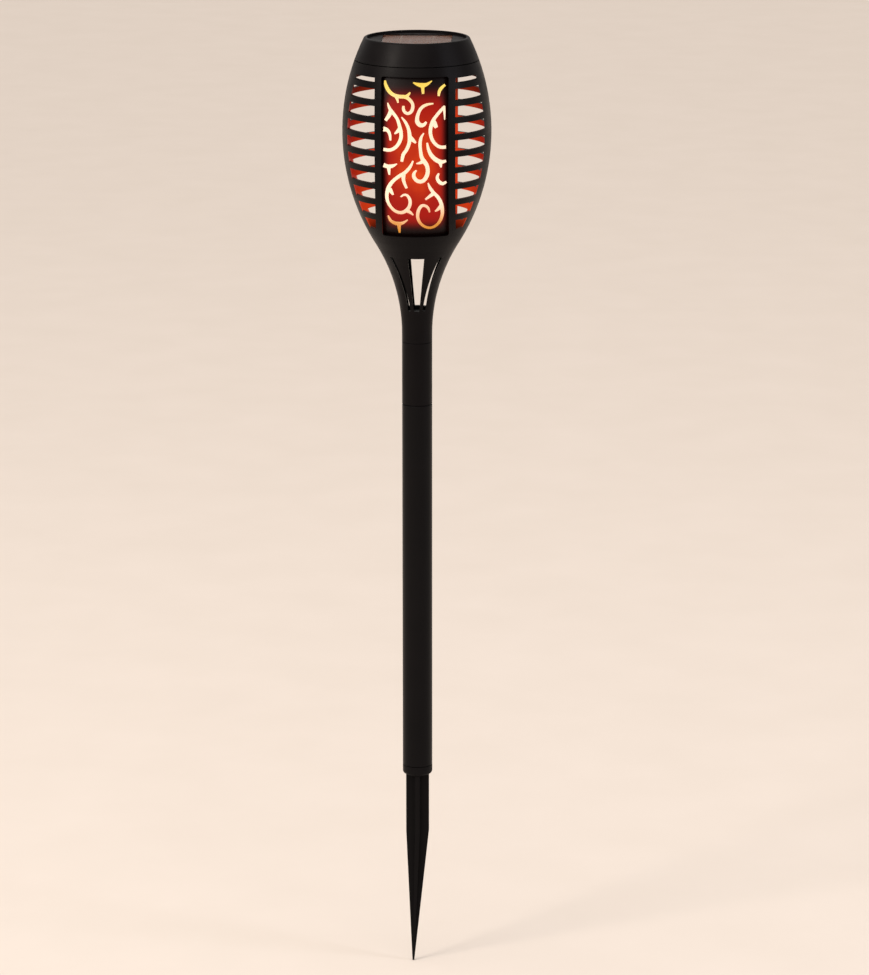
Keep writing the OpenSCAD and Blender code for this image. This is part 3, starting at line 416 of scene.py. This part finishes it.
def lampTree(values):
    tree, given = startTree("lampRow", {
        "Count": ("NodeSocketInt", 6), "Pitch": ("NodeSocketFloat", 0.01), "Side": ("NodeSocketFloat", 0.005),
        "Deep": ("NodeSocketFloat", 0.0016), "Foot": ("NodeSocketVector", (0, 0, 0))})
    size = addNode(tree, "ShaderNodeCombineXYZ", [given["Side"], given["Deep"], given["Side"]]).outputs[0]
    cup = addNode(tree, "GeometryNodeMeshCube", {"Size": size}).outputs["Mesh"]
    window = addNode(tree, "GeometryNodeMeshCylinder", {
        "Vertices": values["windowSides"], "Radius": values["window"], "Depth": values["deep"]}).outputs["Mesh"]
    turned = addNode(tree, "GeometryNodeTransform", {
        "Geometry": window, "Rotation": (math.pi / 2, 0, 0), "Translation": (0, values["windowOut"], 0)}).outputs[0]
    lamp = addNode(tree, "GeometryNodeJoinGeometry")
    for part in (cup, turned):
        tree.links.new(part, lamp.inputs[0])
    step = addNode(tree, "ShaderNodeCombineXYZ", {"Z": given["Pitch"]}).outputs[0]
    row = addNode(tree, "GeometryNodeMeshLine",
                  {"Count": given["Count"], "Start Location": given["Foot"], "Offset": step}, mode="OFFSET").outputs[0]
    placed = addNode(tree, "GeometryNodeInstanceOnPoints", {"Points": row, "Instance": lamp.outputs[0]}).outputs[0]
    back = addNode(tree, "GeometryNodeTransform", {"Geometry": placed, "Rotation": (0, 0, math.pi)}).outputs[0]
    both = addNode(tree, "GeometryNodeJoinGeometry")
    for part in (placed, back):
        tree.links.new(part, both.inputs[0])
    endTree(tree, both.outputs[0], phosphor)
    return tree


lampLow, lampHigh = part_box("lamps")
lampPitch = (lampHigh[2] - lampLow[2] - lampValues["side"]) / (lampValues["count"] - 1)
lampFoot = (0, lampHigh[1] - lampValues["deep"] / 2 - lampValues["windowOut"], lampLow[2] + lampValues["side"] / 2)
lampRow = grow("lampPackages", lampTree(lampValues), {
    "Count": lampValues["count"], "Pitch": lampPitch, "Side": lampValues["side"],
    "Deep": lampValues["deep"] - 2 * lampValues["windowOut"], "Foot": lampFoot}, "light_unit")
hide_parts("lamps")

# Printed silver fingers and two wider busbars on the cells
fingerValues = {"count": 17, "width": 0.18 * mm, "busbars": 2, "busWidth": 0.9 * mm,
                "high": 0.03 * mm, "inset": 1.2 * mm}


def fingerTree():
    tree, given = startTree("fingerRow", {
        "Count": ("NodeSocketInt", 17), "Pitch": ("NodeSocketVector", (0, 0, 0)),
        "Size": ("NodeSocketVector", (1, 1, 1)), "Start": ("NodeSocketVector", (0, 0, 0))})
    bar = addNode(tree, "GeometryNodeMeshCube", {"Size": given["Size"]}).outputs["Mesh"]
    row = addNode(tree, "GeometryNodeMeshLine",
                  {"Count": given["Count"], "Start Location": given["Start"], "Offset": given["Pitch"]},
                  mode="OFFSET").outputs[0]
    placed = addNode(tree, "GeometryNodeInstanceOnPoints", {"Points": row, "Instance": bar}).outputs[0]
    endTree(tree, placed, silverInk)
    return tree


solarLow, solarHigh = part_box("solar_panel")
reach = solarHigh[0] - fingerValues["inset"]
fingers = fingerTree()
inkLevel = solarHigh[2] + fingerValues["high"] / 2
fingerStep = 2 * reach / (fingerValues["count"] - 1)
grow("cellFingers", fingers, {
    "Count": fingerValues["count"], "Pitch": (0, fingerStep, 0), "Start": (0, -reach, inkLevel),
    "Size": (2 * reach, fingerValues["width"], fingerValues["high"])}, "light_unit")
grow("cellBusbars", fingers, {
    "Count": fingerValues["busbars"], "Pitch": (reach, 0, 0), "Start": (-reach / 2, 0, inkLevel + fingerValues["high"]),
    "Size": (fingerValues["busWidth"], 2 * reach, fingerValues["high"])}, "light_unit")

# Copper turns on the boost coil's bobbin
coilValues = {"turns": 10, "wire": 0.11 * mm, "flange": 0.8 * mm, "neck": 2 * mm, "round": 40, "wireSides": 8}


def windingTree(values):
    tree, given = startTree("windingTurns", {
        "Turns": ("NodeSocketInt", 10), "Radius": ("NodeSocketFloat", 0.002), "Wire": ("NodeSocketFloat", 0.0001),
        "Foot": ("NodeSocketVector", (0, 0, 0)), "Step": ("NodeSocketVector", (0, 0, 0.0002))})
    path = addNode(tree, "GeometryNodeCurvePrimitiveCircle",
                   {"Resolution": values["round"], "Radius": given["Radius"]}).outputs[0]
    section = addNode(tree, "GeometryNodeCurvePrimitiveCircle",
                      {"Resolution": values["wireSides"], "Radius": given["Wire"]}).outputs[0]
    turn = addNode(tree, "GeometryNodeCurveToMesh", {"Curve": path, "Profile Curve": section}).outputs[0]
    row = addNode(tree, "GeometryNodeMeshLine",
                  {"Count": given["Turns"], "Start Location": given["Foot"], "Offset": given["Step"]},
                  mode="OFFSET").outputs[0]
    placed = addNode(tree, "GeometryNodeInstanceOnPoints", {"Points": row, "Instance": turn}).outputs[0]
    endTree(tree, placed, copperWire)
    return tree


coilLow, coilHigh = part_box("boost_coil")
windingFoot = coilLow[2] + coilValues["flange"] + coilValues["wire"]
windingHigh = coilHigh[2] - coilValues["flange"] - coilValues["wire"]
winding = grow("coilWinding", windingTree(coilValues), {
    "Turns": coilValues["turns"], "Radius": coilValues["neck"] + coilValues["wire"], "Wire": coilValues["wire"],
    "Foot": ((coilLow[0] + coilHigh[0]) / 2, (coilLow[1] + coilHigh[1]) / 2, windingFoot),
    "Step": (0, 0, (windingHigh - windingFoot) / (coilValues["turns"] - 1))}, "light_unit")
print("rows grown: lamps, fingers, winding")

floorValues = {"colour": "#e6ddd5", "shade": "#e0d7ce", "half": 40.0, "below": 0.2 * mm, "fibreMm": 60}


def paleStage(values):  # one wide sheet, large enough for every view
    level = cadBox[0][2] - values["below"]
    half = values["half"]
    points = [(-half, -half, level), (half, -half, level), (half, half, level), (-half, half, level)]
    mesh = bpy.data.meshes.new("paleStage")
    mesh.from_pydata(points, [], [(0, 1, 2, 3)])
    floor = bpy.data.objects.new("paleStage", mesh)
    bpy.context.scene.collection.objects.link(floor)
    material, tree, place = startMaterial("paperMatt")
    fibres = addNode(tree, "ShaderNodeTexNoise",
                     {"Vector": place, "Scale": perMetre(values["fibreMm"]), "Detail": 3}).outputs[0]
    tone = addNode(tree, "ShaderNodeMix",
                   {0: fibres, 6: toLinear(values["colour"]), 7: toLinear(values["shade"])}, data_type="RGBA")
    endMaterial(tree, {"Base Color": tone.outputs[2], "Roughness": 0.85, "Specular IOR Level": 0.2})
    mesh.materials.append(material)


def softLight(name, values, target):
    light = bpy.data.lights.new(name, values["kind"])
    if values["kind"] == "AREA":
        light.shape = "RECTANGLE"
        light.size, light.size_y = values["size"]
    else:
        light.angle = math.radians(values["spread"])
    light.energy = values["power"]
    light.color = toLinear(values["colour"])[:3]
    lamp = bpy.data.objects.new(name, light)
    bpy.context.scene.collection.objects.link(lamp)
    lamp.location = values["place"]
    lamp.rotation_euler = (Vector(target) - Vector(values["place"])).to_track_quat("-Z", "Y").to_euler()


paleStage(floorValues)
middle = (0, 0, 0.2)
lightValues = {
    "keyLight": {"kind": "AREA", "place": (-1.5, -1.2, 1.5), "size": (0.7, 1.4), "power": 26, "colour": "#fff4e8"},
    "fillLight": {"kind": "AREA", "place": (1.7, -0.6, 1.0), "size": (0.5, 1.4), "power": 9, "colour": "#f2f4ff"},
    # a wide overhead source, so that the floor is even as far as it shows
    "skyLight": {"kind": "SUN", "place": (-0.7, -1.0, 2.2), "spread": 80, "power": 1.7, "colour": "#fff4ea"}}
for name, values in lightValues.items():
    softLight(name, values, middle)

roomValues = {"colour": "#efe9e4", "strength": 0.58}
world = bpy.data.worlds.new("softRoom")
world.use_nodes = True
background = world.node_tree.nodes["Background"].inputs
background["Color"].default_value = toLinear(roomValues["colour"])
background["Strength"].default_value = roomValues["strength"]
bpy.context.scene.world = world
bpy.context.scene.view_settings.view_transform = "Standard"

cameraValues = {"side": 9.2 * mm, "away": 2.071, "high": 0.6877, "round": 1.6, "down": 14.3,
                "lens": 147.7, "sensor": 36}
cameraData = bpy.data.cameras.new("camera")
cameraData.lens = cameraValues["lens"]
cameraData.sensor_width = cameraValues["sensor"]
camera = bpy.data.objects.new("camera", cameraData)
bpy.context.scene.collection.objects.link(camera)
turned = math.radians(cameraValues["round"])  # from a little to the right of straight in front
camera.location = (cameraValues["side"] * math.cos(turned) + cameraValues["away"] * math.sin(turned),
                   cameraValues["side"] * math.sin(turned) - cameraValues["away"] * math.cos(turned),
                   cameraValues["high"])
camera.rotation_euler = (math.radians(90 - cameraValues["down"]), 0, turned)
bpy.context.scene.camera = camera
print("stage, lights and camera done")
